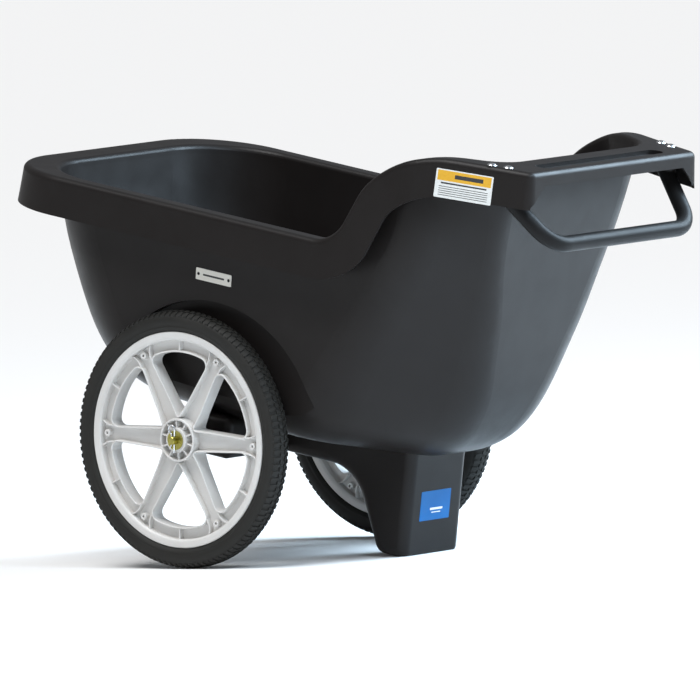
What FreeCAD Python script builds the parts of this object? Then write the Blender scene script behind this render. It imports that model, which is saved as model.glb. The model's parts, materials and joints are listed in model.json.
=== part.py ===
"""Two-wheeled poly garden cart.

The cart is drawn level, in its own moulding frame: the axle line is the Y axis, X runs
from the dumping nose (-X) to the pull handle (+X), and Z is up, square to the tub's rim.
At the end everything is tipped nose-up onto its tyres and leg, which is how it stands.
All sizes are millimetres.
"""
import FreeCAD, Part
import math
import os
from FreeCAD import Vector

os.makedirs("parts", exist_ok=True)

# ---- driving dimensions -------------------------------------------------------------
WHEEL_DIA = 508.0            # 20 inch wheel, over the tread
WHEEL_TRACK = 645.0          # centre to centre of the two wheels
AXLE_DIA = 16.0
AXLE_LENGTH = 726.0
WALL = 5.0                   # moulded wall thickness

RIM_TOP = 458.0              # level part of the rim, above the axle
SKIRT_BOTTOM = 382.0
RIM_DRAFT = 5.0              # degrees, the skirt flares out downwards
DRAFT_LEVEL = 428.0          # height where the plan sizes below are true
RIM_FRONT = -533.0
RIM_REAR = 766.0
RIM_HALF_WIDTH = 349.0
RIM_TAPER_START = 500.0      # the sides start to close in here
RIM_NECK_X = 676.0           # and run almost straight again from here
RIM_NECK_HALF = 298.0
RIM_REAR_HALF = 275.0
RIM_EDGE = 12.0              # radius of the rim's outer top edge
LIP_ROUND = 10.0             # radius from the rim's top down into the tub
BEAD = 17.0                  # the lip is solid to this depth and this far into the flange

STEP_START = 285.0           # the rim's top starts to climb here
STEP_ANGLE = 66.0            # steepest part of the climb
STEP_RADII = (77.0, 118.0, 253.0)
STEP_LENGTH = 57.0

CAVITY_FRONT = 472.0         # tub wall below the rim, outside faces
CAVITY_SIDE = 309.0
FLOOR_SIDE = 288.0
FLOOR_LEVEL = 43.0           # underside of the floor, above the axle
FLOOR_SLOPE = 3.55           # degrees, the floor falls towards the tail
FLOOR_ROUND = 90.0

CHANNEL_X = 707.0            # recess along the top of the rear rim
CHANNEL_LENGTH = 380.0
CHANNEL_WIDTH = 34.0
CHANNEL_DEPTH = 8.0

CLEAR_HIGH, CLEAR_LOW = 637.0, 597.0    # hand clearance in the rear skirt
CLEAR_TOP, CLEAR_BOTTOM = 217.0, 258.0

WELL_RADIUS = 278.0          # tyre pockets in the tub's sides
WELL_X = 34.0
WELL_FACE = 285.0            # from the mid plane to a pocket's flat face

BEAM_HALF_LENGTH = 70.0      # the moulded box that holds the axle
BEAM_HALF_WIDTH = 270.0
BEAM_BOTTOM = -34.0
BEAM_TOP = 48.0
BEAM_EDGE = 14.0
LEG_HALF_WIDTH = 89.0
LEG_REAR = 387.0
LEG_TOP = 70.0
LEG_SOLE = -188.5
WEB_BOTTOM = -35.0
WEB_END = 178.0
LEG_ANGLE = 64.0
LEG_KNEE, LEG_TOE, LEG_HEEL = 99.0, 24.0, 9.0    # radii along the leg's side profile
LEG_CORNER = 20.0

TUBE_DIA = 31.75             # 1-1/4 inch handle tube
TUBE_WALL = 2.0
BAR_CORNER = Vector(778.6, 217.0, 525.5)     # where a handle arm meets the cross bar
KNEE_X, KNEE_Y = 642.0, 269.0                # where an arm turns forward under the rim
TAIL_X, TAIL_Y = 590.0, 281.0                # front end of an arm
BAR_BEND, KNEE_BEND = 60.0, 60.0
BOLT_XY = ((651.0, 265.5), (683.0, 255.0))
BOLT_DIA = 8.0
BOLT_HOLE = 8.4
PAD_DIA = 30.0

BOLT_HEAD_RADIUS, BOLT_HEAD_HEIGHT = 10.0, 4.5
NECK_DEPTH = 4.5             # square neck under a bolt's head
BOLT_REACH = 4.0             # how far a bolt runs past the middle of the tube
INSERT_RADIUS = 5.5

WHEEL_HALF = 20.0            # half width of the moulded wheel over its flanges
FLANGE_THICK = 3.0
FLANGE_RADIUS = 212.8
SEAT_RADIUS = 206.0          # where the tyre sits
LIP_RADIUS = 198.0
CHANNEL_INNER = 178.0
RIM_INNER = 172.0
RIM_WEB_HALF = 4.0           # half thickness of the wall between the rim's two rings
RIM_RING_HALF = 15.0         # half width of the rim's inner ring
HUB_HALF = 25.5
HUB_RADIUS = 43.0
HUB_SKIN = 4.0
HUB_WEB_HALF = 5.0
HUB_RIBS = 10
HUB_RIB_THICK = 3.0
CORE_RADIUS = 24.0
BEARING_RADIUS = 17.5
BEARING_DEPTH = 12.0
SPOKES = 6
SPOKE_ANGLE = 6.8            # one spoke is level with the rim tipped by this much
SPOKE_DEPTH = 14.0           # half depth of a spoke's walls
SPOKE_WEB = 3.0              # half thickness of the web between them
SPOKE_WIDTHS = (46.0, 34.0)  # at the hub and at the rim
SPOKE_WALL = 4.0
BOSS_RADIUS, BOSS_BORE, BOSS_HALF = 8.0, 3.0, 17.0
TYRE_HALF = 24.0
TYRE_SHOULDER = 7.0          # the tread's edge lies this far inside the crown
TYRE_WIDEST = 230.0          # radius where the tyre is widest
RUNNING_FIT = 0.05
GAP = 0.3

WASHER_RADIUS = 19.0
WASHER_THICK = 2.0
SPACER_RADIUS = 11.0
AXLE_CHAMFER = 1.5
CLIP_WIRE = 3.2
CLIP_ANGLE = 265.0           # puts the pinned leg upright with its loop on top
CLIP_TOE = 24.7              # the pinned leg runs this far past the axle's middle
CLIP_RUN = 46.0
CLIP_LOOP, CLIP_BEND, CLIP_GRIP = 7.5, 4.0, 10.2    # radii of loop, bends and sprung leg

NAMEPLATE = (89.0, 23.5, 1.2, 2.0)           # width, height, thickness, corner radius
NAMEPLATE_X, NAMEPLATE_Z = 21.5, 326.5
RIVET_X = 38.0
SIDE_LABEL = (120.0, 56.0, 0.5, 1.5)
SIDE_LABEL_X, SIDE_LABEL_Z = 612.5, 618.0
LEG_LABEL = (92.0, 59.0, 0.5, 1.5)
LEG_LABEL_Y, LEG_LABEL_Z = -2.5, -86.0

WIDEST_SECTION = 420.0       # half width of the blocks that trim the tub

# Worked out: the leg's straight shin and where its sole starts.
WEB_START = 40.0
LEG_TURN = math.radians(LEG_ANGLE)
LEG_SHIN = ((WEB_BOTTOM - LEG_SOLE - (LEG_KNEE + LEG_TOE) * (1 - math.cos(LEG_TURN)))
            / math.sin(LEG_TURN))
SOLE_FRONT = WEB_END + (LEG_KNEE + LEG_TOE) * math.sin(LEG_TURN) + LEG_SHIN * math.cos(LEG_TURN)


# ---- helpers ------------------------------------------------------------------------
def offset_polygon(points, distance):
    """Move every side of a counter-clockwise polygon outwards by distance."""
    moved = []
    count = len(points)
    for i in range(count):
        before, here, after = points[i - 1], points[i], points[(i + 1) % count]
        into = Vector(here[0] - before[0], here[1] - before[1], 0).normalize()
        out_of = Vector(after[0] - here[0], after[1] - here[1], 0).normalize()
        normal_in = Vector(into.y, -into.x, 0)
        normal_out = Vector(out_of.y, -out_of.x, 0)
        bisector = normal_in + normal_out
        step = bisector * (2 * distance / bisector.dot(bisector))
        moved.append((here[0] + step.x, here[1] + step.y))
    return moved


def rounded_wire(points, radii, z, grow=0.0):
    """A closed wire at height z: the polygon grown by grow, with rounded corners."""
    corners = offset_polygon(points, grow)
    count = len(corners)
    ends = []
    arcs = []
    for i in range(count):
        here = Vector(*corners[i], z)
        back = (Vector(*corners[i - 1], z) - here).normalize()
        ahead = (Vector(*corners[(i + 1) % count], z) - here).normalize()
        convex = back.cross(ahead).z < 0
        radius = radii[i] + grow if convex else radii[i] - grow
        half = back.getAngle(ahead) / 2
        reach = radius / math.tan(half)
        bisector = (back + ahead).normalize()
        centre = here + bisector * (radius / math.sin(half))
        middle = centre - bisector * radius
        start, end = here + back * reach, here + ahead * reach
        ends.append((start, end))
        arcs.append(Part.Arc(start, middle, end).toShape())
    edges = []
    for i in range(count):
        edges.append(arcs[i])
        edges.append(Part.LineSegment(ends[i][1], ends[(i + 1) % count][0]).toShape())
    return Part.Wire(edges)


def side_path(start, moves):
    """Edges in the XZ plane. A move is a length, or a (radius, turn in degrees) arc."""
    here = Vector(start[0], 0, start[1])
    heading = 0.0
    edges = []
    for move in moves:
        ahead = Vector(math.cos(heading), 0, math.sin(heading))
        if isinstance(move, tuple):
            radius, turn = move[0], math.radians(move[1])
            side = math.copysign(1.0, turn)
            left = Vector(-ahead.z, 0, ahead.x) * side
            centre = here + left * radius

            def on_arc(part):
                angle = heading + turn * part
                spoke = Vector(math.sin(angle), 0, -math.cos(angle)) * side
                return centre + spoke * radius

            there = on_arc(1.0)
            edges.append(Part.Arc(here, on_arc(0.5), there).toShape())
            heading += turn
        else:
            there = here + ahead * move
            edges.append(Part.LineSegment(here, there).toShape())
        here = there
    return edges


def slab(edges, half_width):
    """Close a run of XZ edges with one more line and thicken it both ways along Y."""
    first, last = edges[0].Vertexes[0].Point, edges[-1].Vertexes[-1].Point
    wire = Part.Wire(edges + [Part.LineSegment(last, first).toShape()])
    face = Part.Face(wire)
    face.translate(Vector(0, -half_width, 0))
    return face.extrude(Vector(0, 2 * half_width, 0))


def rod(radius, y_from, y_to, x=0.0, z=0.0):
    """A cylinder along Y."""
    return Part.makeCylinder(radius, y_to - y_from, Vector(x, y_from, z), Vector(0, 1, 0))


def ring(outer, inner, y_from, y_to):
    return rod(outer, y_from, y_to).cut(rod(inner, y_from - 1, y_to + 1))


def mirrored(shape):
    """The other hand of a shape, across the XZ plane."""
    return shape.mirror(Vector(0, 0, 0), Vector(0, 1, 0))


# ---- tub ----------------------------------------------------------------------------
# Outside of the tub wall at a few levels: height, nose, tail and tail half width.
WALL_LEVELS = (
    (43.0, 300.0, 482.0, 97.0),
    (135.0, 362.0, 529.0, 117.0),
    (172.0, 385.0, 549.0, 122.0),
    (310.0, 441.0, 588.0, 149.0),
    (458.0, CAVITY_FRONT, 616.0, 177.0),
    (720.0, CAVITY_FRONT + 18, 665.0, 226.0),
)


def wall_at(z):
    """Nose, tail and tail half width of the wall at height z, by smooth interpolation."""
    levels = WALL_LEVELS
    z = max(levels[0][0], min(levels[-1][0], z))
    i = 0
    while i < len(levels) - 2 and z > levels[i + 1][0]:
        i += 1
    low, high = levels[i], levels[i + 1]
    part = (z - low[0]) / (high[0] - low[0])

    def slope(k, column):
        a, b = max(k - 1, 0), min(k + 1, len(levels) - 1)
        return (levels[b][column] - levels[a][column]) / (levels[b][0] - levels[a][0])

    span = high[0] - low[0]
    values = []
    for column in (1, 2, 3):
        start, end = low[column], high[column]
        m0, m1 = slope(i, column) * span, slope(i + 1, column) * span
        h00 = (1 + 2 * part) * (1 - part) ** 2
        h10 = part * (1 - part) ** 2
        h01 = part * part * (3 - 2 * part)
        h11 = part * part * (part - 1)
        values.append(h00 * start + h10 * m0 + h01 * end + h11 * m1)
    return values


def tub_section(z, inset):
    """Plan outline of the tub wall at height z, drawn in by inset."""
    nose, tail, tail_half = wall_at(z)
    rise = min(z / RIM_TOP, 1.0)
    side = FLOOR_SIDE + (CAVITY_SIDE - FLOOR_SIDE) * rise
    knee = 230.0 + 265.0 * rise
    nose_radius = 206.0 - 46.0 * rise
    knee_radius = 250.0 - 130.0 * rise
    tail_radius = 130.0 - 60.0 * rise
    points = ((-nose, -side), (knee, -side), (tail, -tail_half),
              (tail, tail_half), (knee, side), (-nose, side))
    radii = (nose_radius, knee_radius, tail_radius, tail_radius, knee_radius, nose_radius)
    wire = rounded_wire(points, radii, z, -inset)
    wire.rotate(Vector(0, 0, z), Vector(0, 1, 0), FLOOR_SLOPE * (1 - rise))
    return wire


def tub_solid(inset):
    """The tub as a filled block with a rounded bottom; inset 0 is its outside."""
    wires = []
    round_radius = FLOOR_ROUND - inset
    for degrees in (0.0, 22.5, 45.0, 67.5):
        angle = math.radians(degrees)
        draw_in = round_radius * (1 - math.sin(angle))
        z = FLOOR_LEVEL + inset + round_radius * (1 - math.cos(angle))
        wire = tub_section(z, inset + draw_in)
        wires.append(wire)
    for z in (FLOOR_LEVEL + FLOOR_ROUND, 180.0, 240.0, 310.0, 380.0, RIM_TOP, 590.0, 720.0):
        wires.append(tub_section(z, inset))
    return Part.makeLoft(wires, True, False)


RIM_PLAN = (
    (RIM_FRONT, -RIM_HALF_WIDTH), (RIM_TAPER_START, -RIM_HALF_WIDTH),
    (RIM_NECK_X, -RIM_NECK_HALF), (RIM_REAR, -RIM_REAR_HALF),
    (RIM_REAR, RIM_REAR_HALF), (RIM_NECK_X, RIM_NECK_HALF),
    (RIM_TAPER_START, RIM_HALF_WIDTH), (RIM_FRONT, RIM_HALF_WIDTH),
)
RIM_CORNERS = (170.0, 120.0, 120.0, 36.0, 36.0, 120.0, 120.0, 170.0)


def rim_block(inset):
    """The rim's outer footprint as a drafted block."""
    flare = math.tan(math.radians(RIM_DRAFT))
    wires = []
    for z in (330.0, 720.0):
        grow = (DRAFT_LEVEL - z) * flare - inset
        wires.append(rounded_wire(RIM_PLAN, RIM_CORNERS, z, grow))
    return Part.makeLoft(wires, True, True)


def closed_side(edges, level):
    """Close a side path with a flat edge at the given height."""
    start, end = edges[0].Vertexes[0].Point, edges[-1].Vertexes[-1].Point
    corners = [end, Vector(end.x, 0, level), Vector(start.x, 0, level)]
    extra = [Part.LineSegment(corners[i], corners[i + 1]).toShape() for i in range(2)]
    return slab(edges + extra, WIDEST_SECTION)


def under_top(drop, floor):
    """Everything below the rim's top line lowered by drop, down to floor."""
    valley, brow, crest = STEP_RADII
    moves = [STEP_START + 600.0, (valley + drop, STEP_ANGLE), STEP_LENGTH,
             (brow - drop, 45.0 - STEP_ANGLE), (crest - drop, -45.0), 260.0]
    return closed_side(side_path((-600.0, RIM_TOP - drop), moves), floor)


def under_skirt():
    """Everything below the skirt's lower edge."""
    moves = [898.0, (150.0, 45.0), (100.0, 22.0), 70.0, (65.0, -25.0), (185.0, -42.0), 240.0]
    return closed_side(side_path((-600.0, SKIRT_BOTTOM), moves), 200.0)


def raised_top():
    """Height of the raised rear part of the rim."""
    valley, brow, crest = STEP_RADII
    steep, half = math.radians(STEP_ANGLE), math.radians(45.0)
    climb = valley * (1 - math.cos(steep)) + STEP_LENGTH * math.sin(steep)
    climb += brow * (math.cos(half) - math.cos(steep)) + crest * (1 - math.cos(half))
    return RIM_TOP + climb


RAISED_TOP = raised_top()


def rear_grip_opening():
    """The hand clearance cut in the rear skirt, between the handle arms."""
    below = CLEAR_LOW - 37.0
    half_depth = 40.0
    outline = [(-CLEAR_BOTTOM, below), (-CLEAR_BOTTOM, CLEAR_LOW), (-CLEAR_TOP, CLEAR_HIGH),
               (CLEAR_TOP, CLEAR_HIGH), (CLEAR_BOTTOM, CLEAR_LOW), (CLEAR_BOTTOM, below)]
    points = [Vector(RIM_REAR - half_depth, y, z) for y, z in outline]
    face = Part.Face(Part.makePolygon(points + points[:1]))
    return face.extrude(Vector(2 * half_depth, 0, 0))


def slot(length, width, top, height):
    """A round-ended bar lying across the cart in the rear rim."""
    reach = length / 2 - width / 2
    corner = Vector(CHANNEL_X - width / 2, -reach, top - height)
    bar = Part.makeBox(width, 2 * reach, height, corner)
    for y in (-reach, reach):
        end = Part.makeCylinder(width / 2, height, Vector(CHANNEL_X, y, top - height))
        bar = bar.fuse(end)
    return bar.removeSplitter()


def beam(inset):
    """The moulded box under the tub that holds the axle."""
    size = (2 * (BEAM_HALF_LENGTH - inset), 2 * (BEAM_HALF_WIDTH - inset),
            BEAM_TOP - BEAM_BOTTOM - 2 * inset)
    corner = Vector(inset - BEAM_HALF_LENGTH, inset - BEAM_HALF_WIDTH, BEAM_BOTTOM + inset)
    block = Part.makeBox(*size, corner)
    return block.makeFillet(BEAM_EDGE - inset, block.Edges)


def leg(inset):
    """The web and the leg under the tail, as a filled block."""
    moves = [WEB_END - WEB_START, (LEG_KNEE + inset, -LEG_ANGLE), LEG_SHIN,
             (LEG_TOE - inset, LEG_ANGLE), LEG_REAR - LEG_HEEL - SOLE_FRONT,
             (LEG_HEEL - inset, 90.0), LEG_TOP - LEG_SOLE - LEG_HEEL]
    lower = side_path((WEB_START, WEB_BOTTOM + inset), moves)
    end = lower[-1].Vertexes[-1].Point
    edges = lower + [Part.LineSegment(end, Vector(WEB_START, 0, end.z)).toShape()]
    block = slab(edges, LEG_HALF_WIDTH - inset)
    upright = [e for e in block.Edges
               if e.BoundBox.ZLength > 200 and e.BoundBox.XMin > LEG_REAR - inset - 1]
    return block.makeFillet(LEG_CORNER - inset, upright)


def pocket(inset):
    """The tyre pockets cut into both sides of the tub."""
    face = WELL_FACE - inset
    near = rod(WELL_RADIUS + inset, face, WIDEST_SECTION, WELL_X)
    return near.fuse(mirrored(near))


def tube_height(x):
    """Height of a handle arm's centre line at x, behind the knee."""
    part = (x - KNEE_X) / (BAR_CORNER.x - KNEE_X)
    return KNEE_Z + part * (BAR_CORNER.z - KNEE_Z)


KNEE_Z = RAISED_TOP - WALL - TUBE_DIA / 2


def bolt_places():
    return [Vector(x, side * y, RAISED_TOP) for side in (-1, 1) for x, y in BOLT_XY]


def edge_points(edge):
    first, last = edge.ParameterRange
    return [edge.valueAt(first + (last - first) * part) for part in (0.1, 0.5, 0.9)]


def lip_edges(shape, large, small):
    """Edges where the rim's top meets its side faces, which lie between large and small."""
    above, below = under_top(-0.5, 150.0), under_top(0.5, 150.0)
    return [edge for edge in shape.Edges
            if all(above.isInside(v, 1e-3, True) and not below.isInside(v, 1e-3, True)
                   and large.isInside(v, 1e-3, True) and not small.isInside(v, 1e-3, True)
                   for v in edge_points(edge))]


def make_rim():
    """The flange all round the tub, with its skirt and its solid inner lip."""
    rim = rim_block(0.0).common(under_top(0.0, 200.0)).cut(tub_solid(WALL))
    outer = lip_edges(rim, rim_block(-1.0), rim_block(1.0))
    inner = lip_edges(rim, tub_solid(WALL - 1.0), tub_solid(WALL + 1.0))
    rim = rim.makeFillet(LIP_ROUND, inner).makeFillet(RIM_EDGE, outer)
    lip = tub_solid(WALL - BEAD).cut(under_top(BEAD, 150.0))
    hollow = rim_block(WALL).common(under_top(WALL, 150.0)).cut(lip)
    return rim.cut(hollow).cut(under_skirt())


def make_shell():
    """The tub's walls and floor below the lip, with the axle beam, web and leg."""
    outside = tub_solid(0.0).common(under_top(BEAD, -300.0)).cut(pocket(0.0))
    inside = tub_solid(WALL).cut(pocket(WALL))
    shell = outside.fuse(beam(0.0)).fuse(leg(0.0)).cut(inside)
    return shell.cut(leg(WALL).cut(outside)).cut(beam(WALL).cut(outside))


def make_tub_body(handle_envelope):
    body = make_rim().fuse(make_shell())
    for place in bolt_places():
        depth = RAISED_TOP - 2.0 - tube_height(place.x)
        pad = Part.makeCylinder(PAD_DIA / 2, depth, place - Vector(0, 0, depth + 2.0))
        body = body.fuse(pad)
    channel_top = RAISED_TOP - CHANNEL_DEPTH
    body = body.fuse(slot(CHANNEL_LENGTH + 2 * WALL, CHANNEL_WIDTH + 2 * WALL,
                          RAISED_TOP - 2.0, CHANNEL_DEPTH + WALL - 2.0))
    body = body.fuse(rod(AXLE_DIA / 2 + 6.0, 2.0 - BEAM_HALF_WIDTH, BEAM_HALF_WIDTH - 2.0))
    body = body.cut(rod(AXLE_DIA / 2 + RUNNING_FIT, -300.0, 300.0))
    body = body.cut(rear_grip_opening()).cut(handle_envelope)
    body = body.cut(slot(CHANNEL_LENGTH, CHANNEL_WIDTH, channel_top + 20.0, 20.0))
    for place in bolt_places():
        body = body.cut(Part.makeCylinder(BOLT_HOLE / 2, 90.0, place - Vector(0, 0, 85)))
        body = body.cut(square_neck(place, 0.2))
    return body


# ---- handle and its fasteners -------------------------------------------------------
def bent_path(points, radii):
    """A wire of straight runs with tangent arcs at its inner points."""
    edges = []
    here = points[0]
    for i in range(1, len(points) - 1):
        back = (points[i - 1] - points[i]).normalize()
        ahead = (points[i + 1] - points[i]).normalize()
        half = back.getAngle(ahead) / 2
        radius = radii[i - 1]
        bisector = (back + ahead).normalize()
        centre = points[i] + bisector * (radius / math.sin(half))
        start = points[i] + back * (radius / math.tan(half))
        end = points[i] + ahead * (radius / math.tan(half))
        edges.append(Part.LineSegment(here, start).toShape())
        edges.append(Part.Arc(start, centre - bisector * radius, end).toShape())
        here = end
    edges.append(Part.LineSegment(here, points[-1]).toShape())
    return Part.Wire(edges)


def swept_rod(path, radius):
    first = path.OrderedEdges[0]
    start = first.valueAt(first.FirstParameter)
    heading = first.tangentAt(first.FirstParameter)
    circle = Part.Wire([Part.Circle(start, heading, radius).toShape()])
    return path.makePipeShell([circle], True, True)


def handle_path():
    arm = [Vector(TAIL_X, TAIL_Y, KNEE_Z), Vector(KNEE_X, KNEE_Y, KNEE_Z), BAR_CORNER]
    other = [Vector(v.x, -v.y, v.z) for v in reversed(arm)]
    return bent_path(arm + other, (KNEE_BEND, BAR_BEND, BAR_BEND, KNEE_BEND))


def make_handle(envelope):
    tube = envelope.cut(swept_rod(handle_path(), TUBE_DIA / 2 - TUBE_WALL))
    for place in bolt_places():
        foot = Vector(place.x, place.y, tube_height(place.x))
        tube = tube.cut(Part.makeCylinder(INSERT_RADIUS + RUNNING_FIT, 60.0, foot))
    return tube


def square_neck(place, gap):
    side = BOLT_DIA + 2 * gap
    corner = place - Vector(side / 2, side / 2, NECK_DEPTH)
    return Part.makeBox(side, side, NECK_DEPTH, corner)


def dome(place, radius, height):
    """A round button head standing on place."""
    ball = (radius * radius + height * height) / (2 * height)
    sphere = Part.makeSphere(ball, place + Vector(0, 0, height - ball))
    return sphere.common(Part.makeCylinder(radius, height, place))


def make_bolt(place):
    """A carriage bolt from the rim down into the handle arm."""
    low = tube_height(place.x) - BOLT_REACH
    shank = Part.makeCylinder(BOLT_DIA / 2, place.z - low, Vector(place.x, place.y, low))
    head = dome(place, BOLT_HEAD_RADIUS, BOLT_HEAD_HEIGHT)
    return shank.fuse(square_neck(place, 0.0)).fuse(head).removeSplitter()


def make_insert(place, envelope):
    """The threaded insert that holds a bolt in the top of the handle arm."""
    foot = Vector(place.x, place.y, tube_height(place.x))
    sleeve = Part.makeCylinder(INSERT_RADIUS, 40.0, foot)
    sleeve = sleeve.cut(Part.makeCylinder(BOLT_DIA / 2 + RUNNING_FIT, 40.0, foot))
    return sleeve.common(envelope)


# ---- wheels -------------------------------------------------------------------------
def turned(points):
    """Revolve a closed (radius, y) outline about the axle."""
    corners = [Vector(r, y, 0) for r, y in points]
    face = Part.Face(Part.makePolygon(corners + corners[:1]))
    return face.revolve(Vector(0, 0, 0), Vector(0, 1, 0), 360)


def spoke(half_depth, start, end, hub_width, rim_width):
    """A straight bar along X, tapering from the hub to the rim."""
    w0, w1 = hub_width / 2, rim_width / 2
    corners = [Vector(start, 0, -w0), Vector(end, 0, -w1), Vector(end, 0, w1), Vector(start, 0, w0)]
    face = Part.Face(Part.makePolygon(corners + corners[:1]))
    face.translate(Vector(0, -half_depth, 0))
    return face.extrude(Vector(0, 2 * half_depth, 0))


def rim_outline():
    """Half section of the rim: flanges, tyre seat, web wall and inner ring."""
    w, ring_half, web = WHEEL_HALF, RIM_RING_HALF, RIM_WEB_HALF
    lip_foot = LIP_RADIUS - 2
    seat = w - FLANGE_THICK - 1.5
    one_side = [(RIM_INNER, ring_half), (CHANNEL_INNER, ring_half), (CHANNEL_INNER, web),
                (lip_foot, web), (LIP_RADIUS, w), (FLANGE_RADIUS, w),
                (FLANGE_RADIUS, w - FLANGE_THICK), (SEAT_RADIUS, seat)]
    return one_side + [(r, -y) for r, y in reversed(one_side)]


def hub_outline():
    """Half section of the hub: core, web and outer ring."""
    ring_inner, ring_half = HUB_RADIUS - HUB_SKIN, HUB_HALF - 3
    one_side = [(0, HUB_HALF), (CORE_RADIUS, HUB_HALF), (CORE_RADIUS, HUB_WEB_HALF),
                (ring_inner, HUB_WEB_HALF), (ring_inner, ring_half), (HUB_RADIUS, ring_half)]
    return one_side + [(r, -y) for r, y in reversed(one_side)]


def make_spoke():
    """One spoke along +X: two walls, the web between them and the boss at the rim."""
    at_hub, at_rim = SPOKE_WIDTHS
    start, end = HUB_RADIUS - 3, RIM_INNER + 2
    outer = spoke(SPOKE_DEPTH, start, end, at_hub, at_rim)
    gap = spoke(SPOKE_DEPTH, start - 7, end + 7, at_hub - 2 * SPOKE_WALL, at_rim - 2 * SPOKE_WALL)
    web = spoke(SPOKE_WEB, start, end, at_hub - SPOKE_WALL, at_rim - SPOKE_WALL)
    boss_x = (CHANNEL_INNER + LIP_RADIUS) / 2 - 3
    boss = rod(BOSS_RADIUS, -BOSS_HALF, BOSS_HALF, boss_x)
    bore = rod(BOSS_BORE, -BOSS_HALF - 1, BOSS_HALF + 1, boss_x)
    return outer.cut(gap).fuse(web).fuse(boss.cut(bore))


def make_wheel():
    """The moulded wheel, centred on the origin."""
    pieces = [turned(hub_outline())]
    axis = Vector(0, 1, 0)
    for k in range(SPOKES):
        bar = make_spoke()
        bar.rotate(Vector(0, 0, 0), axis, k * 360.0 / SPOKES - SPOKE_ANGLE)
        pieces.append(bar)
    for k in range(HUB_RIBS):
        rib = Part.makeBox(HUB_RADIUS - CORE_RADIUS, 2 * HUB_HALF - 8, HUB_RIB_THICK,
                           Vector(CORE_RADIUS - 1, 4 - HUB_HALF, -HUB_RIB_THICK / 2))
        rib.rotate(Vector(0, 0, 0), axis, (k + 0.5) * 360.0 / HUB_RIBS)
        pieces.append(rib)
    wheel = turned(rim_outline()).fuse(pieces)
    wheel = wheel.cut(rod(AXLE_DIA / 2 + 2.0, -40.0, 40.0))
    for y in (-HUB_HALF - 1, HUB_HALF - BEARING_DEPTH):
        wheel = wheel.cut(rod(BEARING_RADIUS, y, y + BEARING_DEPTH + 1))
    return wheel


def make_tyre():
    """The tyre, centred on the origin: bead seat, bulged sides and a crowned tread."""
    crown, bead = WHEEL_DIA / 2, WHEEL_HALF - 5.0
    right = [Vector(SEAT_RADIUS, bead, 0), Vector(FLANGE_RADIUS + 0.6, bead + 1.2, 0),
             Vector(TYRE_WIDEST, TYRE_HALF, 0), Vector(crown - TYRE_SHOULDER, TYRE_HALF - 3, 0)]
    left = [Vector(v.x, -v.y, 0) for v in right]
    outline = [
        Part.LineSegment(left[0], right[0]),
        Part.LineSegment(right[0], right[1]),
        Part.Arc(right[1], right[2], right[3]),
        Part.Arc(right[3], Vector(crown, 0, 0), left[3]),
        Part.Arc(left[3], left[2], left[1]),
        Part.LineSegment(left[1], left[0]),
    ]
    face = Part.Face(Part.Wire([piece.toShape() for piece in outline]))
    return face.revolve(Vector(0, 0, 0), Vector(0, 1, 0), 360)


def make_bearing(end):
    """A plain bearing pressed into one end of the hub; +1 is the outer end."""
    y = HUB_HALF - BEARING_DEPTH
    sleeve = ring(BEARING_RADIUS, AXLE_DIA / 2 + RUNNING_FIT, y, HUB_HALF)
    return sleeve if end > 0 else mirrored(sleeve)


def make_clip():
    """A hairpin clip: one leg through the axle, the other sprung round it."""
    moves = [CLIP_RUN, (CLIP_LOOP, 230.0), 5.2, (CLIP_BEND, -90.0), (CLIP_GRIP, 80.0),
             (CLIP_BEND, -70.0), 4.0]
    clip = swept_rod(Part.Wire(side_path((-CLIP_TOE, 0.0), moves)), CLIP_WIRE / 2)
    clip.rotate(Vector(0, 0, 0), Vector(0, 1, 0), CLIP_ANGLE)
    return clip


def at_wheel(shape, offset=0.0):
    """A copy moved out along the axle to the wheel on the +Y side."""
    return shape.translated(Vector(0, WHEEL_TRACK / 2 + offset, 0))


# ---- plates and labels --------------------------------------------------------------
def plate(width, height, thick, radius):
    """A rounded plate standing in the XZ plane, its back on Y = 0, facing -Y."""
    block = Part.makeBox(width, thick, height, Vector(-width / 2, -thick, -height / 2))
    upright = [e for e in block.Edges if e.BoundBox.YLength > thick / 2]
    return block.makeFillet(radius, upright)


def placed(shape, centre, lean, turn):
    """Lean a plate's top outwards, turn it about Z and move it to its centre."""
    copy = shape.copy()
    copy.rotate(Vector(0, 0, 0), Vector(1, 0, 0), lean)
    copy.rotate(Vector(0, 0, 0), Vector(0, 0, 1), turn)
    copy.translate(centre)
    return copy


# ---- assembly -----------------------------------------------------------------------
def wall_face(x, z):
    """Outer face of the tub's level side wall on the -Y side."""
    return Vector(x, -(FLOOR_SIDE + (CAVITY_SIDE - FLOOR_SIDE) * z / RIM_TOP), z)


def skirt_face(x, z):
    """Outer face of the rim's skirt on the -Y side, where the plan closes in."""
    closing = (RIM_HALF_WIDTH - RIM_NECK_HALF) / (RIM_NECK_X - RIM_TAPER_START)
    half = RIM_HALF_WIDTH - closing * (x - RIM_TAPER_START)
    half += (DRAFT_LEVEL - z) * math.tan(math.radians(RIM_DRAFT)) / math.cos(math.atan(closing))
    return Vector(x, -half, z)


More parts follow.
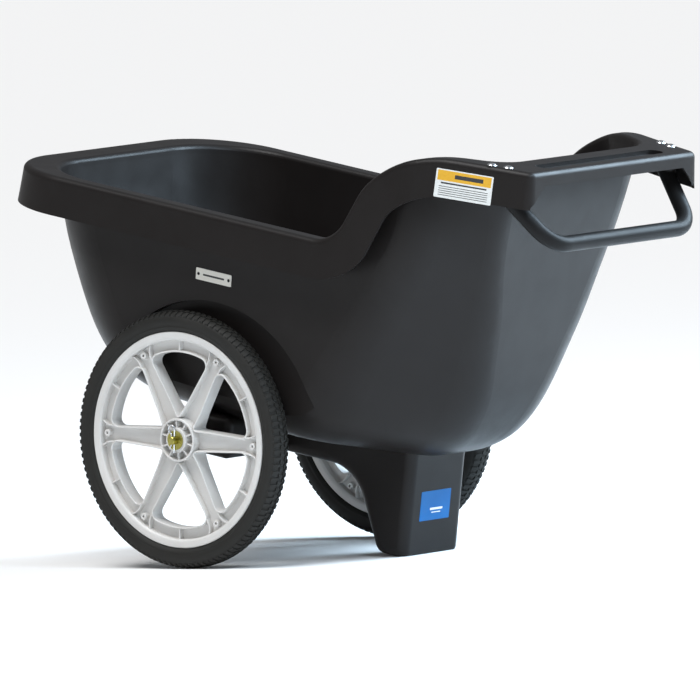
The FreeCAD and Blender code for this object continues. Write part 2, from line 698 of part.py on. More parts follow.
def make_parts():
    envelope = swept_rod(handle_path(), TUBE_DIA / 2)
    places = bolt_places()
    parts = {
        "tub_body": make_tub_body(envelope),
        "handle_tube": make_handle(envelope),
        "handle_bolts": Part.makeCompound([make_bolt(p) for p in places]),
        "threaded_inserts": Part.makeCompound([make_insert(p, envelope) for p in places]),
    }

    axle = rod(AXLE_DIA / 2, -AXLE_LENGTH / 2, AXLE_LENGTH / 2)
    rings = [e for e in axle.Edges if e.Length > AXLE_DIA and e.BoundBox.YLength < 1]
    axle = axle.makeChamfer(AXLE_CHAMFER, rings)
    hub_face = WHEEL_TRACK / 2 + HUB_HALF
    clip_y = hub_face + GAP + WASHER_THICK + CLIP_WIRE / 2 + 0.2
    clip_hole = Part.makeCylinder(CLIP_WIRE / 2 + 0.2, 30.0, Vector(0, clip_y, -15))
    clip_hole.rotate(Vector(0, 0, 0), Vector(0, 1, 0), CLIP_ANGLE - 90.0)
    parts["axle_rod"] = axle.cut(clip_hole).cut(mirrored(clip_hole))

    inner_face = WHEEL_TRACK / 2 - HUB_HALF - GAP
    sleeve = ring(SPACER_RADIUS, AXLE_DIA / 2 + RUNNING_FIT, BEAM_HALF_WIDTH, inner_face - WASHER_THICK)
    washer = ring(WASHER_RADIUS, AXLE_DIA / 2 + RUNNING_FIT, 0.0, WASHER_THICK)
    washer_in = washer.translated(Vector(0, inner_face - WASHER_THICK, 0))
    washer_out = washer.translated(Vector(0, hub_face + GAP, 0))
    clip = make_clip().translated(Vector(0, clip_y, 0))
    per_side = {
        "axle_spacer": sleeve,
        "inner_washer": washer_in,
        "outer_washer": washer_out,
        "hairpin_clip": clip,
        "wheel": at_wheel(make_wheel()),
        "tyre": at_wheel(make_tyre()),
        "bearing_outer": at_wheel(make_bearing(1)),
        "bearing_inner": at_wheel(make_bearing(-1)),
    }
    for name, shape in per_side.items():
        parts[name + "_right"] = shape
        parts[name + "_left"] = mirrored(shape)

    wall_lean = math.degrees(math.atan((CAVITY_SIDE - FLOOR_SIDE) / RIM_TOP))
    name_at = wall_face(NAMEPLATE_X, NAMEPLATE_Z)
    parts["nameplate"] = placed(plate(*NAMEPLATE), name_at, wall_lean, 0.0)
    rivets = []
    for x in (-RIVET_X, RIVET_X):
        head = dome(Vector(x, 0, 0), 3.2, 1.4)
        stem = Part.makeCylinder(1.6, 5.0, Vector(x, 0, -5.0))
        rivet = head.fuse(stem).removeSplitter()
        rivet.rotate(Vector(0, 0, 0), Vector(1, 0, 0), 90.0)
        rivet.translate(Vector(0, -NAMEPLATE[2], 0))
        rivets.append(placed(rivet, name_at, wall_lean, 0.0))
    parts["nameplate_rivets"] = Part.makeCompound(rivets)
    parts["nameplate"] = parts["nameplate"].cut(parts["nameplate_rivets"])
    parts["tub_body"] = parts["tub_body"].cut(parts["nameplate_rivets"])

    closing = math.degrees(math.atan((RIM_HALF_WIDTH - RIM_NECK_HALF)
                                     / (RIM_NECK_X - RIM_TAPER_START)))
    parts["side_label"] = placed(plate(*SIDE_LABEL), skirt_face(SIDE_LABEL_X, SIDE_LABEL_Z),
                                 -RIM_DRAFT, closing)
    leg_label = plate(*LEG_LABEL)
    leg_label.rotate(Vector(0, 0, 0), Vector(0, 0, 1), 90.0)
    parts["leg_label"] = leg_label.translated(Vector(LEG_REAR, LEG_LABEL_Y, LEG_LABEL_Z))
    return parts


def rest_tilt():
    """Nose-up angle at which the leg's sole and the tyres all meet the ground."""
    sole_x = 0.5 * (SOLE_FRONT + LEG_REAR)
    reach = math.hypot(sole_x, LEG_SOLE)
    return math.degrees(math.asin(WHEEL_DIA / 2 / reach) + math.atan2(LEG_SOLE, sole_x))


def main():
    parts = make_parts()
    for shape in parts.values():
        shape.rotate(Vector(0, 0, 0), Vector(0, 1, 0), rest_tilt())
        shape.translate(Vector(0, 0, WHEEL_DIA / 2))
    ground = Part.makeBox(600, 400, 100, Vector(0, -200, -100))
    parts["tub_body"] = parts["tub_body"].cut(ground)
    boxes = [shape.optimalBoundingBox(True, False) for shape in parts.values()]
    middle = 0.5 * (min(b.XMin for b in boxes) + max(b.XMax for b in boxes))
    for name, shape in parts.items():
        shape.translate(Vector(-middle, 0, 0))
        shape.exportStep("parts/" + name + ".step")
        print(name, shape.isValid(), len(shape.Solids), round(shape.Volume))
    print("tilt", round(rest_tilt(), 3), "axle x", round(-middle, 3),
          "top", round(max(b.ZMax for b in boxes), 2), "low", min(b.ZMin for b in boxes))


main()
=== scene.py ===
"""Looks for a two-wheeled garden cart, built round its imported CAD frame. Metres throughout."""

import json
import math

import bmesh
import bpy
import numpy as np
from mathutils import Matrix, Vector


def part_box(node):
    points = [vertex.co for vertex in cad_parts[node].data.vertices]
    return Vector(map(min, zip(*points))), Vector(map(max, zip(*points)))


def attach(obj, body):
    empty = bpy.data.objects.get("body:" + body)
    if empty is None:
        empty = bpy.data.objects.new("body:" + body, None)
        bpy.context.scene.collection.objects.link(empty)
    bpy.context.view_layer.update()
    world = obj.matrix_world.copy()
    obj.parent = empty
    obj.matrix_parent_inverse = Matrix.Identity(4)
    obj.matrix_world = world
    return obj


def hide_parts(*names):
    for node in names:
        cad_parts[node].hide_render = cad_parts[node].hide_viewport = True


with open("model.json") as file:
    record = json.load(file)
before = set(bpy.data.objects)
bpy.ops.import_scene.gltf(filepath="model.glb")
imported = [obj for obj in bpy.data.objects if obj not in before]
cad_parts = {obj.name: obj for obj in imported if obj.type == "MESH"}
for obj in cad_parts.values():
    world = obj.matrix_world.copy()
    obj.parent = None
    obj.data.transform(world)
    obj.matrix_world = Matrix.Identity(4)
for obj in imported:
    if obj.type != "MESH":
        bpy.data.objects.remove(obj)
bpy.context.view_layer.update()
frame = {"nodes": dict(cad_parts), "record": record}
MM = 0.001

# ---- places, from the frame -----------------------------------------------------------
AXLE_LOW, AXLE_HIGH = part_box("axle_rod")
AXLE = (AXLE_LOW + AXLE_HIGH) / 2
TYRE_LOW, TYRE_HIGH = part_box("tyre_right")
TRACK_HALF = (TYRE_LOW.y + TYRE_HIGH.y) / 2
TYRE_RADIUS = (TYRE_HIGH.z - TYRE_LOW.z) / 2
TYRE_HALF = (TYRE_HIGH.y - TYRE_LOW.y) / 2
LEAN = math.radians(4.3)             # tips one pair of spokes, and the camera, off level
SPOKES = 6


# ---- mesh helpers ---------------------------------------------------------------------
def new_piece(name, bm, slot_material, body, smooth=30.0):
    """Turn a bmesh into an object with a material, riding on a body."""
    bmesh.ops.recalc_face_normals(bm, faces=bm.faces)
    mesh = bpy.data.meshes.new(name)
    bm.to_mesh(mesh)
    bm.free()
    for polygon in mesh.polygons:
        polygon.use_smooth = True
    mesh.set_sharp_from_angle(angle=math.radians(smooth))
    piece = bpy.data.objects.new(name, mesh)
    bpy.context.scene.collection.objects.link(piece)
    piece.data.materials.append(slot_material)
    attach(piece, body)
    return piece


def bevel(piece, width, segments, angle):
    """Round the edges sharper than angle."""
    modifier = piece.modifiers.new("edges", "BEVEL")
    modifier.width = width
    modifier.segments = segments
    modifier.limit_method = "ANGLE"
    modifier.angle_limit = math.radians(angle)
    modifier.harden_normals = True


def join_rings(bm, rings):
    """Faces between each ring of vertices and the next."""
    for here, there in zip(rings, rings[1:]):
        for i in range(len(here)):
            j = (i + 1) % len(here)
            bm.faces.new((here[i], here[j], there[j], there[i]))


def revolve(bm, profile, segments, centre=Vector((0, 0, 0))):
    """A closed (radius, y) outline turned about the Y axis through centre."""
    rings = []
    for k in range(segments):
        angle = 2 * math.pi * k / segments
        rings.append([bm.verts.new(centre + Vector((r * math.cos(angle), y, r * math.sin(angle))))
                      for r, y in profile])
    join_rings(bm, rings + rings[:1])


def bridge(bm, sections):
    """A closed tube of faces through equal rings of points, capped at both ends."""
    rings = [[bm.verts.new(point) for point in section] for section in sections]
    join_rings(bm, rings)
    bm.faces.new(rings[0])
    bm.faces.new(reversed(rings[-1]))


def mirrored_profile(half, skip_last=False):
    """A (radius, y) outline from its +y half; the first point, and the last if asked, is shared."""
    last = -1 if skip_last else None
    return half + [(r, -y) for r, y in reversed(half[1:last])]


def to_axle(bm, side):
    """Move a wheel or tyre made at the origin to its place on the axle."""
    bm.transform(Matrix.Translation(Vector((AXLE.x, side * TRACK_HALF, AXLE.z))))


def turn_y(angle):
    return Matrix.Rotation(angle, 4, "Y")


# ---- materials ------------------------------------------------------------------------
def material(name, roughness=0.5, metallic=0.0):
    """A Principled material; constant values go straight on the shader's own sockets."""
    mat = bpy.data.materials.new(name)
    mat.use_nodes = True
    shader = mat.node_tree.nodes["Principled BSDF"]
    shader.inputs["Roughness"].default_value = roughness
    shader.inputs["Metallic"].default_value = metallic
    return mat, mat.node_tree, shader


def noise(tree, scale, detail, stretch=(1, 1, 1)):
    """A noise pattern fixed to the object."""
    place = tree.nodes.new("ShaderNodeTexCoord")
    mapping = tree.nodes.new("ShaderNodeMapping")
    mapping.inputs["Scale"].default_value = stretch
    texture = tree.nodes.new("ShaderNodeTexNoise")
    texture.inputs["Scale"].default_value = scale
    texture.inputs["Detail"].default_value = detail
    tree.links.new(place.outputs["Object"], mapping.inputs["Vector"])
    tree.links.new(mapping.outputs["Vector"], texture.inputs["Vector"])
    return texture.outputs["Fac"]


def ramp(tree, factor, low, high, dark, light):
    """Map a factor between two positions onto two colours."""
    node = tree.nodes.new("ShaderNodeValToRGB")
    node.color_ramp.elements[0].position = low
    node.color_ramp.elements[1].position = high
    node.color_ramp.elements[0].color = (*dark, 1)
    node.color_ramp.elements[1].color = (*light, 1)
    tree.links.new(factor, node.inputs["Fac"])
    return node.outputs["Color"]


def grey(value):
    return (value, value, value)


def bump(tree, shader, height, strength, distance):
    node = tree.nodes.new("ShaderNodeBump")
    node.inputs["Strength"].default_value = strength
    node.inputs["Distance"].default_value = distance
    tree.links.new(height, node.inputs["Height"])
    tree.links.new(node.outputs["Normal"], shader.inputs["Normal"])


def moulded_plastic(name, dark, light, rough, grain, grain_depth, specular):
    """Moulded plastic: slow colour drift, uneven gloss and a fine surface grain."""
    mat, tree, shader = material(name)
    shader.inputs["Specular IOR Level"].default_value = specular
    drift = noise(tree, 7.0, 5.0)
    tree.links.new(ramp(tree, drift, 0.3, 0.7, dark, light), shader.inputs["Base Color"])
    gloss = noise(tree, 24.0, 6.0)
    tree.links.new(ramp(tree, gloss, 0.3, 0.7, grey(rough[0]), grey(rough[1])),
                   shader.inputs["Roughness"])
    bump(tree, shader, noise(tree, grain, 3.0), 0.25, grain_depth)
    return mat


def metal(name, dark, light, rough, stretch=(1, 1, 1)):
    """Plated or drawn metal: one cloudy pattern sets both its colour and its gloss."""
    mat, tree, shader = material(name, metallic=1.0)
    cloud = noise(tree, 220.0, 6.0, stretch=stretch)
    tree.links.new(ramp(tree, cloud, 0.35, 0.65, dark, light), shader.inputs["Base Color"])
    tree.links.new(ramp(tree, cloud, 0.3, 0.7, grey(rough[0]), grey(rough[1])),
                   shader.inputs["Roughness"])
    bump(tree, shader, noise(tree, 900.0, 3.0, stretch=stretch), 0.15, 0.0001)
    return mat


def rubber(name):
    """Dull rubber with dusty patches."""
    mat, tree, shader = material(name)
    shader.inputs["Specular IOR Level"].default_value = 0.3
    dust = noise(tree, 14.0, 8.0)
    tree.links.new(ramp(tree, dust, 0.35, 0.75, (0.0115, 0.0110, 0.0095), (0.0195, 0.0185, 0.0165)),
                   shader.inputs["Base Color"])
    tree.links.new(ramp(tree, dust, 0.3, 0.7, grey(0.55), grey(0.75)), shader.inputs["Roughness"])
    bump(tree, shader, noise(tree, 700.0, 3.0), 0.3, 0.0002)
    return mat


MATERIALS = {
    "tub_plastic": moulded_plastic(
        "charcoal_poly", dark=(0.0110, 0.0092, 0.0086), light=(0.0130, 0.0110, 0.0104),
        rough=(0.36, 0.44), grain=650.0, grain_depth=0.0003, specular=0.17),
    "black_paint": moulded_plastic(
        "black_powder_coat", dark=(0.010, 0.0095, 0.0095), light=(0.013, 0.0125, 0.0125),
        rough=(0.40, 0.48), grain=1100.0, grain_depth=0.0002, specular=0.09),
    "bright_zinc": metal(
        "bright_zinc_plate", dark=(0.62, 0.64, 0.67), light=(0.80, 0.81, 0.83), rough=(0.16, 0.30)),
    "steel_axle": metal(
        "drawn_steel", dark=(0.42, 0.42, 0.43), light=(0.58, 0.58, 0.58), rough=(0.25, 0.40),
        stretch=(1, 0.1, 1)),
    "yellow_zinc": metal(
        "yellow_zinc_plate", dark=(0.30, 0.27, 0.06), light=(0.46, 0.41, 0.12), rough=(0.25, 0.42)),
    "white_plastic": moulded_plastic(
        "white_nylon", dark=(0.60, 0.585, 0.565), light=(0.66, 0.645, 0.625),
        rough=(0.30, 0.42), grain=500.0, grain_depth=0.0002, specular=0.45),
    "tyre_rubber": rubber("tyre_rubber"),
    "bearing_nylon": moulded_plastic(
        "bearing_nylon", dark=(0.42, 0.42, 0.40), light=(0.52, 0.52, 0.50),
        rough=(0.35, 0.5), grain=500.0, grain_depth=0.0002, specular=0.4),
    "plate_ivory": moulded_plastic(
        "plate_ivory", dark=(0.66, 0.62, 0.55), light=(0.74, 0.71, 0.64),
        rough=(0.28, 0.4), grain=800.0, grain_depth=0.0001, specular=0.5),
    "label_white": moulded_plastic(
        "label_white", dark=(0.60, 0.60, 0.58), light=(0.66, 0.66, 0.64),
        rough=(0.2, 0.3), grain=400.0, grain_depth=0.0001, specular=0.5),
    "label_blue": moulded_plastic(
        "label_blue", dark=(0.004, 0.085, 0.26), light=(0.006, 0.115, 0.33),
        rough=(0.34, 0.44), grain=400.0, grain_depth=0.0001, specular=0.2),
    "label_yellow": moulded_plastic(
        "label_yellow", dark=(0.58, 0.30, 0.015), light=(0.64, 0.35, 0.03),
        rough=(0.2, 0.3), grain=400.0, grain_depth=0.0001, specular=0.5),
    "label_ink": moulded_plastic(
        "label_ink", dark=(0.02, 0.02, 0.02), light=(0.04, 0.04, 0.04),
        rough=(0.3, 0.4), grain=400.0, grain_depth=0.0001, specular=0.4),
}

for part in frame["record"]["subparts"]:
    node = frame["nodes"][part["node"]]
    node.data.materials.clear()
    node.data.materials.append(MATERIALS[part["material_slot"]])


# ---- wheels ---------------------------------------------------------------------------
# Radii of the rim from outside in, and of the hub.
FLANGE, SEAT, LIP_IN, CHANNEL_OUT, RIM_IN = (v * MM for v in (212.8, 206, 199, 196, 172))
HUB_OUT, HUB_WALL, CORE, BORE, AXLE_BORE = (v * MM for v in (43, 38.6, 24.5, 17.5, 10))
WHEEL_HALF = 20 * MM
HUB_HALF = 25.5 * MM
BEARING_DEPTH = 12 * MM
HUB_RIBS = 10
HUB_FLOOR = 6 * MM                   # half thickness of the hub between its core and its wall
SPOKE_WEB, CHANNEL_FLOOR = 3 * MM, 4 * MM               # half thicknesses
SPOKE_AT_HUB, SPOKE_AT_RIM = 22.0 * MM, 14.5 * MM       # half widths over the walls
WINDOW_CORNER, WINDOW_POINT = 14 * MM, 3.5 * MM         # rounding at the rim and at the hub
WALL_THICK, WALL_DEPTH = 3.6 * MM, 15.5 * MM
HUB_DEEPENING, DEEP_WITHIN = 4.5 * MM, 75 * MM          # the walls get deeper inside this radius
BOSS_AT = 183 * MM
HALF_GAP = math.radians(180 / SPOKES)


def rim_profile():
    """The tyre seat, the bright lip and the floor of the channel inside it."""
    floor = CHANNEL_FLOOR
    half = [(RIM_IN + 1 * MM, 0), (RIM_IN + 1 * MM, floor - 1 * MM), (RIM_IN + 2 * MM, floor),
            (CHANNEL_OUT - 0.8 * MM, floor), (CHANNEL_OUT, 16.5 * MM), (LIP_IN, 19.4 * MM),
            (LIP_IN + 2 * MM, WHEEL_HALF), (FLANGE - 1.5 * MM, WHEEL_HALF),
            (FLANGE, WHEEL_HALF - 1.5 * MM), (FLANGE - 0.4 * MM, WHEEL_HALF - 3.4 * MM),
            (SEAT, WHEEL_HALF - 4.6 * MM)]
    return mirrored_profile(half)


def hub_profile():
    """The hub's outer wall, its floor, its core and the bearing seats."""
    floor = HUB_FLOOR
    half = [(HUB_OUT, 0), (HUB_OUT, HUB_HALF - 4 * MM), (HUB_OUT - 1 * MM, HUB_HALF - 3 * MM),
            (HUB_WALL + 0.8 * MM, HUB_HALF - 3 * MM), (HUB_WALL, HUB_HALF - 4 * MM),
            (HUB_WALL - 0.6 * MM, floor), (CORE + 0.6 * MM, floor), (CORE, HUB_HALF - 1 * MM),
            (CORE - 0.8 * MM, HUB_HALF), (BORE + 0.6 * MM, HUB_HALF), (BORE, HUB_HALF - 0.6 * MM),
            (BORE, HUB_HALF - BEARING_DEPTH), (AXLE_BORE, HUB_HALF - BEARING_DEPTH), (AXLE_BORE, 0)]
    return mirrored_profile(half, skip_last=True)


def spoke_half_width(r):
    return SPOKE_AT_HUB + (SPOKE_AT_RIM - SPOKE_AT_HUB) * (r - HUB_OUT) / (RIM_IN - HUB_OUT)


def arc(centre, radius, start, end, steps):
    """Points on an arc with their outward directions, both ends included."""
    points = []
    for k in range(steps + 1):
        angle = start + (end - start) * k / steps
        way = Vector((math.cos(angle), math.sin(angle)))
        points.append((centre + way * radius, way))
    return points


def window_outline():
    """One opening between two spokes, as (point, outward direction), mid line along +X."""
    along = Vector((math.cos(HALF_GAP), math.sin(HALF_GAP)))
    across = Vector((math.sin(HALF_GAP), -math.cos(HALF_GAP)))

    def edge(r):
        return along * r + across * spoke_half_width(r)

    run = (edge(RIM_IN) - edge(HUB_OUT)).normalized()
    inward = Vector((run.y, -run.x))
    low, high = HUB_OUT, RIM_IN
    for _ in range(40):      # halve the range until the corner just touches the rim
        middle = (low + high) / 2
        if (edge(middle) + inward * WINDOW_CORNER).length < RIM_IN - WINDOW_CORNER:
            low = middle
        else:
            high = middle
    corner = edge(low) + inward * WINDOW_CORNER
    start = math.atan2(-inward.y, -inward.x)
    end = math.atan2(corner.y, corner.x)
    tip_reach = WINDOW_POINT / math.sin(math.atan2(run.y, run.x))
    tip = edge(HUB_OUT) - run * (edge(HUB_OUT).y / run.y) + Vector((tip_reach, 0))
    upper = arc(tip, WINDOW_POINT, math.pi, start, 4)
    spoke_start = upper[-1][0]
    upper += [(spoke_start.lerp(edge(low), k / 8), -inward) for k in range(1, 8)]
    upper += arc(corner, WINDOW_CORNER, start, end, 8)
    upper += arc(Vector((0, 0)), RIM_IN, end, 0, 10)[1:]
    lower = [(Vector((p.x, -p.y)), Vector((w.x, -w.y))) for p, w in upper[-2:0:-1]]
    return upper + lower


def wall_depth(r):
    """The walls stand a little deeper towards the hub."""
    return WALL_DEPTH + HUB_DEEPENING * max(0.0, (DEEP_WITHIN - r) / (DEEP_WITHIN - HUB_OUT))


def add_window(bm, angle):
    """The wall round one opening: it is a side of both spokes and the inside of the rim."""
    turn = turn_y(-angle)
    soft = 0.9 * MM
    rings = []
    for point, way in window_outline():
        depth = wall_depth(point.length)
        across = [(0, 0), (0.35 * MM, depth - soft), (soft, depth), (WALL_THICK - soft, depth),
                  (WALL_THICK, depth - soft), (WALL_THICK + 0.9 * MM, SPOKE_WEB)]
        across = mirrored_profile(across)
        rings.append([bm.verts.new(turn @ Vector((point.x + way.x * d, y, point.y + way.y * d)))
                      for d, y in across])
    join_rings(bm, rings + rings[:1])


def add_web(bm, angle):
    """The recessed web that fills a spoke between its two walls."""
    turn = turn_y(-angle)
    flare_from = 150 * MM
    radii = (36 * MM, HUB_OUT, 60 * MM, 100 * MM, flare_from, RIM_IN - 12 * MM, RIM_IN, RIM_IN + 3 * MM)
    sections = []
    for r in radii:
        reach = spoke_half_width(r) - 0.8 * MM
        if r >= RIM_IN:
            reach += 8 * MM
        thick = SPOKE_WEB + 0.9 * MM * max(0.0, (r - flare_from) / (RIM_IN - flare_from))
        outline = [(-reach, thick), (reach, thick), (reach, -thick), (-reach, -thick)]
        sections.append([turn @ Vector((r, y, z)) for z, y in outline])
    bridge(bm, sections)


def add_rib(bm, angle, inner, outer, half_depth, half_thick):
    """A flat rib that runs outwards between two radii."""
    turn = turn_y(-angle)
    sections = []
    for r in (inner, outer):
        outline = [(-half_thick, -half_depth), (half_thick, -half_depth),
                   (half_thick, half_depth), (-half_thick, half_depth)]
        sections.append([turn @ Vector((r, y, z)) for z, y in outline])
    bridge(bm, sections)


def add_flare(bm, angle, side):
    """The curved end of a spoke's wall, which runs on over the rim channel to the lip."""
    turn = turn_y(-angle)
    half_thick = 1.5
    path = ((166, 15.6, 15.0), (176, 16.2, 15.0), (184, 18.6, 14.8), (191, 23.0, 14.6),
            (198, 30.0, 14.6))       # radius, distance from the spoke's middle, half depth
    sections = []
    for r, offset, depth in path:
        near, far = side * (offset - half_thick), side * (offset + half_thick)
        outline = [(near, -depth), (far, -depth), (far, depth), (near, depth)]
        sections.append([turn @ (Vector((r, y, z)) * MM) for z, y in outline])
    bridge(bm, sections)


def add_boss(bm, angle, side):
    """The small round boss with a blind hole at the rim end of a spoke."""
    centre = turn_y(-angle) @ Vector((BOSS_AT, 0, 0))
    hole, foot, top = 2.4, 2, 14.4
    outline = [(hole, foot), (7.6, foot), (7.0, top - 0.8), (6.2, top), (hole + 0.8, top),
               (hole, top - 0.8)]
    revolve(bm, [(r * MM, side * y * MM) for r, y in outline], 24, centre)


def make_wheel(hand, side):
    """The moulded wheel: rim channel, six channel spokes, ribs, bolt bosses and hub."""
    bm = bmesh.new()
    revolve(bm, rim_profile(), 144)
    revolve(bm, hub_profile(), 72)
    for k in range(SPOKES):
        angle = 2 * k * HALF_GAP - LEAN
        add_window(bm, angle + HALF_GAP)
        add_web(bm, angle)
        add_rib(bm, angle + HALF_GAP, RIM_IN + 3 * MM, CHANNEL_OUT + 1 * MM, 14.4 * MM, 1.6 * MM)
        for part in (-1, 1):
            add_boss(bm, angle, part)
            add_flare(bm, angle, part)
    for k in range(HUB_RIBS):
        angle = 2 * math.pi * (k + 0.5) / HUB_RIBS
        add_rib(bm, angle, CORE - 1 * MM, HUB_WALL + 1 * MM, HUB_HALF - 4.6 * MM, 1.5 * MM)
    to_axle(bm, side)
    wheel = new_piece("spoked_wheel_" + hand, bm, MATERIALS["white_plastic"], "wheel_" + hand, 28.0)
    bevel(wheel, 0.5 * MM, 2, 32.0)
    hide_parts("wheel_" + hand)


# ---- tyres ----------------------------------------------------------------------------
TREAD_DEPTH = 2.3 * MM
TREAD_COUNT = 112
CROWN_FALL = 7 * MM                  # how much lower the tread is at its edge


def crown_radius(y):
    """Outer radius of the tread at y from the middle."""
    return TYRE_RADIUS - CROWN_FALL * abs(y / (TYRE_HALF - 3 * MM)) ** 2.2


def tyre_profile():
    """Bead, ringed sidewall and the base that the tread blocks stand on."""
    half = TYRE_HALF
    bead = 15.2 * MM
    points = [(SEAT + 0.3 * MM, -bead), (SEAT + 0.3 * MM, bead)]
    points += [(213.4 * MM, bead + 1.8 * MM), (215.5 * MM, bead + 4.2 * MM)]
    sidewall = ((218, 2.6), (222, 1.2), (224, 1.9), (227, 1.0), (232, 0.1), (238, 0.6), (242, 2.2))
    points += [(r * MM, half - inset * MM) for r, inset in sidewall]
    for step in range(5):
        y = (half - 5 * MM) * (1 - step / 5)
        points.append((crown_radius(y) - TREAD_DEPTH, y))
    crown = [(crown_radius(0) - TREAD_DEPTH, 0)]
    mirror = [(r, -y) for r, y in reversed(points[2:])]
    return points + crown + mirror


def add_block(bm, angle, y_from, y_to, width, skew, lift):
    """One tread block that follows the crown, its top drawn in from its foot."""
    sections = []
    steps = 3
    draw_in = 0.5 * MM
    for i in range(steps + 1):
        y = y_from + (y_to - y_from) * i / steps
        top = crown_radius(y) - lift
        foot = top - TREAD_DEPTH - 1.2 * MM
        inset = 0.10 if 0 < i < steps else 0.24
        shift = {0: draw_in, steps: -draw_in}.get(i, 0)
        middle = angle + skew * (i / steps - 0.5)
        outline = []
        for r, part in ((foot, -1), (foot, 1), (top, 1 - inset), (top, inset - 1)):
            a = middle + part * width / 2 / TYRE_RADIUS
            y_here = y + shift if r == top else y
            outline.append(Vector((r * math.cos(a), y_here, r * math.sin(a))))
        sections.append(outline)
    bridge(bm, sections)


def make_tyre(hand, side):
    """The tyre: a turned carcass with two rows of tread blocks on each side of its middle."""
    bm = bmesh.new()
    revolve(bm, tyre_profile(), 160)
    pitch = 2 * math.pi / TREAD_COUNT
    inner_row, outer_row = (1.6 * MM, 9.2 * MM), (11.2 * MM, TYRE_HALF - 2.2 * MM)
    for k in range(TREAD_COUNT):
        angle = k * pitch
        for way in (-1, 1):
            add_block(bm, angle + pitch * 0.25 * way, way * inner_row[0], way * inner_row[1],
                      9.2 * MM, pitch * 0.22, 0.0)
            add_block(bm, angle - pitch * 0.25 * way, way * outer_row[0], way * outer_row[1],
                      8.6 * MM, -pitch * 0.12, 0.2 * MM)
    to_axle(bm, side)
    tyre = new_piece("treaded_tyre_" + hand, bm, MATERIALS["tyre_rubber"], "wheel_" + hand, 36.0)
    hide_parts("tyre_" + hand)


for hand, side in (("left", -1), ("right", 1)):
    make_wheel(hand, side)
    make_tyre(hand, side)


# ---- labels ---------------------------------------------------------------------------
INSIDE = AXLE + Vector((0.1, 0, 0))      # a point inside the tub, to tell which way a plate faces


def plate_frame(node):
    """A plate's own axes: its length, its height and its outward face, with its sizes."""
    points = np.array([v.co for v in frame["nodes"][node].data.vertices])
    centre = (points.min(0) + points.max(0)) / 2
    axes = np.linalg.svd(points - points.mean(0), full_matrices=False)[2]
    length, height, face = (Vector(axis) for axis in axes)
    if height.z < 0:
        height = -height
    if face.dot(Vector(centre) - INSIDE) < 0:
        face = -face
    length = height.cross(face)
    place = Matrix.Identity(4)
    for column, axis in enumerate((length, height, face)):
        place.col[column][:3] = axis
    place.translation = Vector(centre)
    spans = [np.ptp((points - centre) @ np.array(axis)) for axis in (length, height, face)]
    return place, spans


def add_panel(bm, width, height, low, high, radius, x=0.0, y=0.0, index=0):
    """A flat rounded rectangle between two depths."""
    sections = []
    for z in (low, high):
        outline = []
        for k in range(4):
            corner_x = x + (width / 2 - radius) * (1 if k in (0, 3) else -1)
            corner_y = y + (height / 2 - radius) * (1 if k < 2 else -1)
            for step in range(5):
                a = math.radians(90 * k + 22.5 * step)
                outline.append(Vector((corner_x + radius * math.cos(a),
                                       corner_y + radius * math.sin(a), z)))
        sections.append(outline)
    start = len(bm.faces)
    bridge(bm, sections)
    bm.faces.ensure_lookup_table()
    for face in bm.faces[start:]:
        face.material_index = index


def make_label(name, node, slots, panels, base_radius):
    """A printed label: its backing, and raised ink panels (width, height, x, y, index).

    Sizes and places of panels are parts of the label's own; index picks one of the slots.
    """
    place, (width, height, thick) = plate_frame(node)
    bm = bmesh.new()
    ink = min(0.06 * MM, thick / 6)
    add_panel(bm, width, height, -thick / 2, thick / 2 - 2 * ink, base_radius)
    for w, h, x, y, index in panels:
        top = thick / 2 - ink * (2 - index * 0.5)
        radius = min(0.8 * MM, w * width / 4, h * height / 4)
        add_panel(bm, w * width, h * height, thick / 2 - 4 * ink, top, radius,
                  x * width, y * height, index)
    bm.transform(place)
    label = new_piece(name, bm, MATERIALS[slots[0]], "root")
    for slot in slots[1:]:
        label.data.materials.append(MATERIALS[slot])
    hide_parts(node)


RULES = [(0.86, 0.022, 0, -0.10 - 0.075 * k, 2) for k in range(5)]
make_label("side_label_print", "side_label", ("label_white", "label_yellow", "label_ink"),
           [(0.94, 0.36, 0, 0.28, 1), (0.50, 0.14, 0.08, 0.28, 2), (0.80, 0.055, 0, 0.02, 2)] + RULES,
           1.5 * MM)
make_label("leg_label_print", "leg_label", ("label_blue", "label_blue", "label_white"),
           [(0.94, 0.90, 0, 0, 1), (0.42, 0.075, 0.04, -0.12, 2), (0.30, 0.03, 0.04, -0.24, 2)],
           1.5 * MM)
make_label("nameplate_print", "nameplate", ("plate_ivory", "label_ink"),
           [(0.60, 0.16, 0, 0.0, 1)], 2.0 * MM)


# ---- stage ----------------------------------------------------------------------------
def stage_floor():
    """A wide, pale, matt floor."""
    bm = bmesh.new()
    bmesh.ops.create_grid(bm, x_segments=1, y_segments=1, size=250)
    mesh = bpy.data.meshes.new("studio_floor")
    bm.to_mesh(mesh)
    bm.free()
    floor = bpy.data.objects.new("studio_floor", mesh)
    bpy.context.scene.collection.objects.link(floor)
    mat, _, shader = material("pale_floor", roughness=0.9)
    shader.inputs["Base Color"].default_value = (0.93, 0.93, 0.93, 1)
    mesh.materials.append(mat)


def area_light(name, place, target, size, power, colour):
    """A rectangular soft box aimed at a target."""
    data = bpy.data.lights.new(name, "AREA")
    data.shape = "RECTANGLE"
    data.size, data.size_y = size
    data.energy = power
    data.color = colour
    lamp = bpy.data.objects.new(name, data)
    lamp.location = place
    lamp.rotation_euler = (Vector(target) - Vector(place)).to_track_quat("-Z", "Y").to_euler()
    bpy.context.scene.collection.objects.link(lamp)


def sun_light(towards, strength, spread):
    """Even soft light from one direction, which keeps the whole floor pale."""
    data = bpy.data.lights.new("sky", "SUN")
    data.energy = strength
    data.angle = math.radians(spread)
    lamp = bpy.data.objects.new("sky", data)
    lamp.rotation_euler = (-Vector(towards)).to_track_quat("-Z", "Y").to_euler()
    bpy.context.scene.collection.objects.link(lamp)


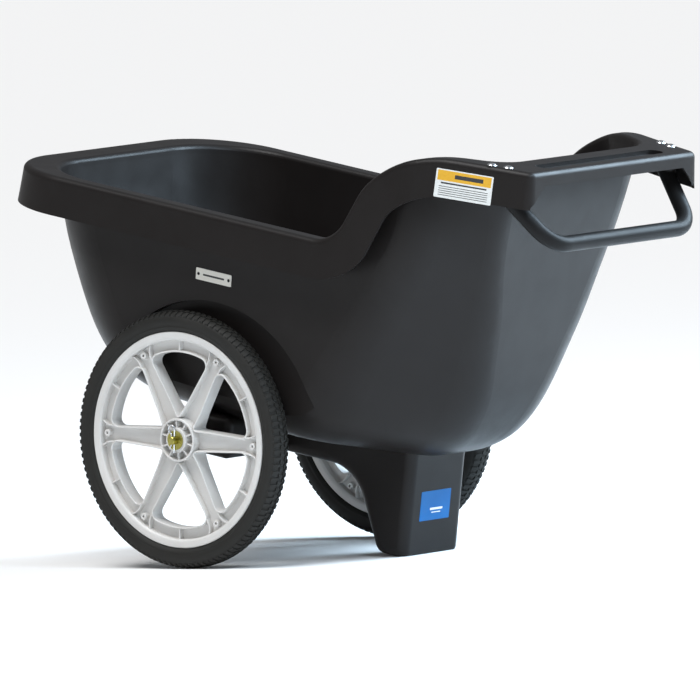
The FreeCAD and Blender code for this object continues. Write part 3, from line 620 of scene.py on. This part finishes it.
CAMERA_YAW, CAMERA_PITCH = math.radians(38.844), math.radians(6.568)    # off the cart's side
LENS, DISTANCE = 1200.0, 45.93       # a long lens from far off, so the view is nearly parallel
AIM_RIGHT, AIM_UP = 0.1230, 0.1456   # from the axle, across the view
FAR_CLIP = 400.0


def make_camera():
    """The camera, tipped sideways so that the cart shows less nose-up than it stands."""
    back = Vector((math.sin(CAMERA_YAW) * math.cos(CAMERA_PITCH),
                   -math.cos(CAMERA_YAW) * math.cos(CAMERA_PITCH), math.sin(CAMERA_PITCH)))
    right = Vector((math.cos(CAMERA_YAW), math.sin(CAMERA_YAW), 0))
    lean = turn_y(LEAN).to_3x3()
    back, right = lean @ back, lean @ right
    up = back.cross(right)
    data = bpy.data.cameras.new("camera")
    data.lens, data.sensor_width = LENS, 36.0
    data.clip_end = FAR_CLIP
    camera = bpy.data.objects.new("camera", data)
    place = Matrix.Identity(4)
    for column, axis in enumerate((right, up, back)):
        place.col[column][:3] = axis
    place.translation = AXLE + AIM_RIGHT * right + AIM_UP * up + DISTANCE * back
    camera.matrix_world = place
    bpy.context.scene.collection.objects.link(camera)
    bpy.context.scene.camera = camera


def make_world():
    """An even, faint, slightly cool surround."""
    world = bpy.data.worlds.new("studio")
    world.use_nodes = True
    back = world.node_tree.nodes["Background"]
    back.inputs["Color"].default_value = (0.95, 0.97, 1.0, 1)
    back.inputs["Strength"].default_value = 0.22
    bpy.context.scene.world = world
    bpy.context.scene.view_settings.view_transform = "Standard"


stage_floor()
make_camera()
make_world()
area_light("key", place=(2.7, 1.2, 2.9), target=(0.0, 0, 0.5), size=(2.2, 2.0), power=120.0,
           colour=(0.62, 0.82, 1.0))
area_light("far_side", place=(1.5, 1.9, 1.8), target=(-0.4, 0, 0.6), size=(1.5, 1.5), power=165.0,
           colour=(0.66, 0.84, 1.0))
area_light("fill", place=(2.3, -1.0, 2.6), target=(-0.5, 0.2, 0.6), size=(0.9, 0.9), power=40.0,
           colour=(0.75, 0.88, 1.0))
sun_light(towards=(-0.2, -1.2, 3.0), strength=2.7, spread=38.0)
